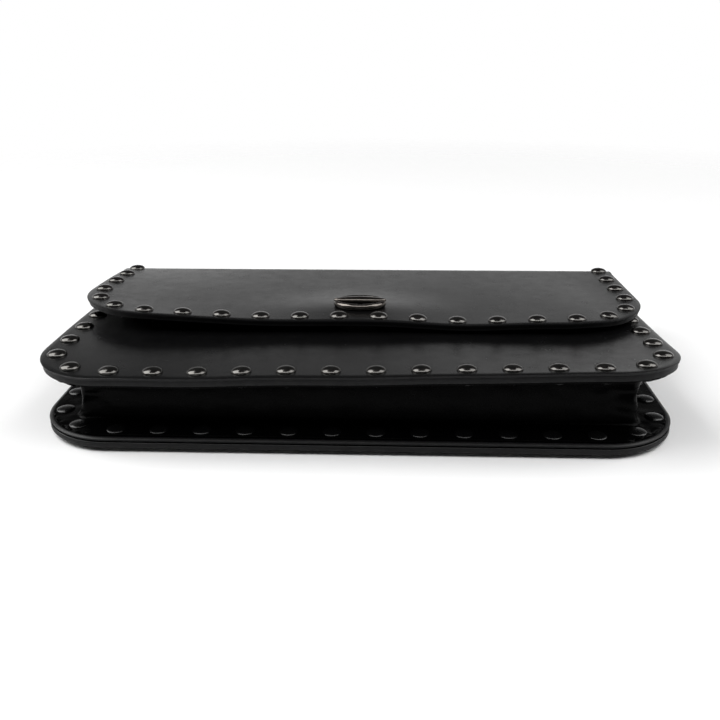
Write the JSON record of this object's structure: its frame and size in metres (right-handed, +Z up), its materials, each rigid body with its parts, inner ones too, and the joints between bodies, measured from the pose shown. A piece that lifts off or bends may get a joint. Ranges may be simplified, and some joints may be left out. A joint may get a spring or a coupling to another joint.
{
  "type": "chain wallet",
  "caption": "Studded fold-over chain wallet in black leather, lying on its back, with a gusset, a flap that opens over the top fold and a turning clasp.",
  "frame": {"origin": "middle of the footprint, on the surface that the wallet lies on", "axes": "+X across the wallet, +Y from its bottom edge to its top fold, +Z up out of its front"},
  "size_m": [0.23, 0.1358, 0.0378],
  "materials": {
    "outer_leather": "smooth black hide, satin",
    "facing_leather": "smooth black hide with painted edge, satin",
    "gusset_leather": "thin soft hide, glossy",
    "inner_leather": "thin black hide, matt",
    "lining_cloth": "black twill, matt",
    "stud_metal": "gunmetal plating, polished",
    "clasp_metal": "gunmetal plating, polished"
  },
  "bodies": {
    "body": {"back_panel": "outer_leather", "back_facing": "facing_leather", "back_studs": "stud_metal", "back_lining": "lining_cloth", "front_panel": "outer_leather", "front_facing": "facing_leather", "front_studs": "stud_metal", "front_lining": "lining_cloth", "gusset": "gusset_leather", "gusset_lining": "lining_cloth", "slip_pocket": "inner_leather", "card_leaf_1": "inner_leather", "card_leaf_2": "inner_leather", "card_leaf_3": "inner_leather", "ring_tab_left": "inner_leather", "ring_tab_right": "inner_leather", "tab_rivet_left": "stud_metal", "tab_rivet_right": "stud_metal", "strike_plate": "clasp_metal", "strike_washer": "clasp_metal"},
    "spine": {"spine_leather": "outer_leather", "spine_facing": "facing_leather", "spine_stud_left": "stud_metal", "spine_stud_right": "stud_metal"},
    "flap": {"flap_leather": "outer_leather", "flap_facing": "facing_leather", "clasp_ring": "clasp_metal", "clasp_dish": "clasp_metal", "clasp_backing": "clasp_metal", "flap_stud_left_01": "stud_metal", "flap_stud_left_02": "stud_metal", "flap_stud_left_03": "stud_metal", "flap_stud_left_04": "stud_metal", "flap_stud_left_05": "stud_metal", "flap_stud_left_06": "stud_metal", "flap_stud_left_07": "stud_metal", "flap_stud_left_08": "stud_metal", "flap_stud_left_09": "stud_metal", "flap_stud_left_10": "stud_metal", "flap_stud_left_11": "stud_metal", "flap_stud_left_12": "stud_metal", "flap_stud_right_01": "stud_metal", "flap_stud_right_02": "stud_metal", "flap_stud_right_03": "stud_metal", "flap_stud_right_04": "stud_metal", "flap_stud_right_05": "stud_metal", "flap_stud_right_06": "stud_metal", "flap_stud_right_07": "stud_metal", "flap_stud_right_08": "stud_metal", "flap_stud_right_09": "stud_metal", "flap_stud_right_10": "stud_metal", "flap_stud_right_11": "stud_metal", "flap_stud_right_12": "stud_metal"},
    "clasp": {"clasp_bar": "clasp_metal", "clasp_spindle": "clasp_metal", "clasp_cam": "clasp_metal"},
    "ring_left": {"chain_ring_left": "clasp_metal"},
    "ring_right": {"chain_ring_right": "clasp_metal"}
  },
  "joints": [
    {"name": "spine_fold", "type": "hinge", "parent": "body", "child": "spine", "pos_m": [0, 0.06565, 0.0022], "axis": [-1, 0, 0], "range_deg": [0, 85]},
    {"name": "flap_fold", "type": "hinge", "parent": "spine", "child": "flap", "pos_m": [0, 0.06565, 0.02794], "axis": [-1, 0, 0], "range_deg": [0, 85]},
    {"name": "clasp_turn", "type": "hinge", "parent": "flap", "child": "clasp", "pos_m": [0, -0.00465, 0.033], "axis": [0, 0, 1], "range_deg": [0, 90]},
    {"name": "ring_left_swing", "type": "hinge", "parent": "body", "child": "ring_left", "pos_m": [-0.0956, 0.04795, 0.0127], "axis": [0, 0, -1], "range_deg": [0, 90]},
    {"name": "ring_right_swing", "type": "hinge", "parent": "body", "child": "ring_right", "pos_m": [0.0956, 0.04795, 0.0127], "axis": [0, 0, 1], "range_deg": [0, 90]}
  ],
  "couplings": [
    {"joint": "flap_fold", "follows": "spine_fold", "ratio": 1}
  ]
}
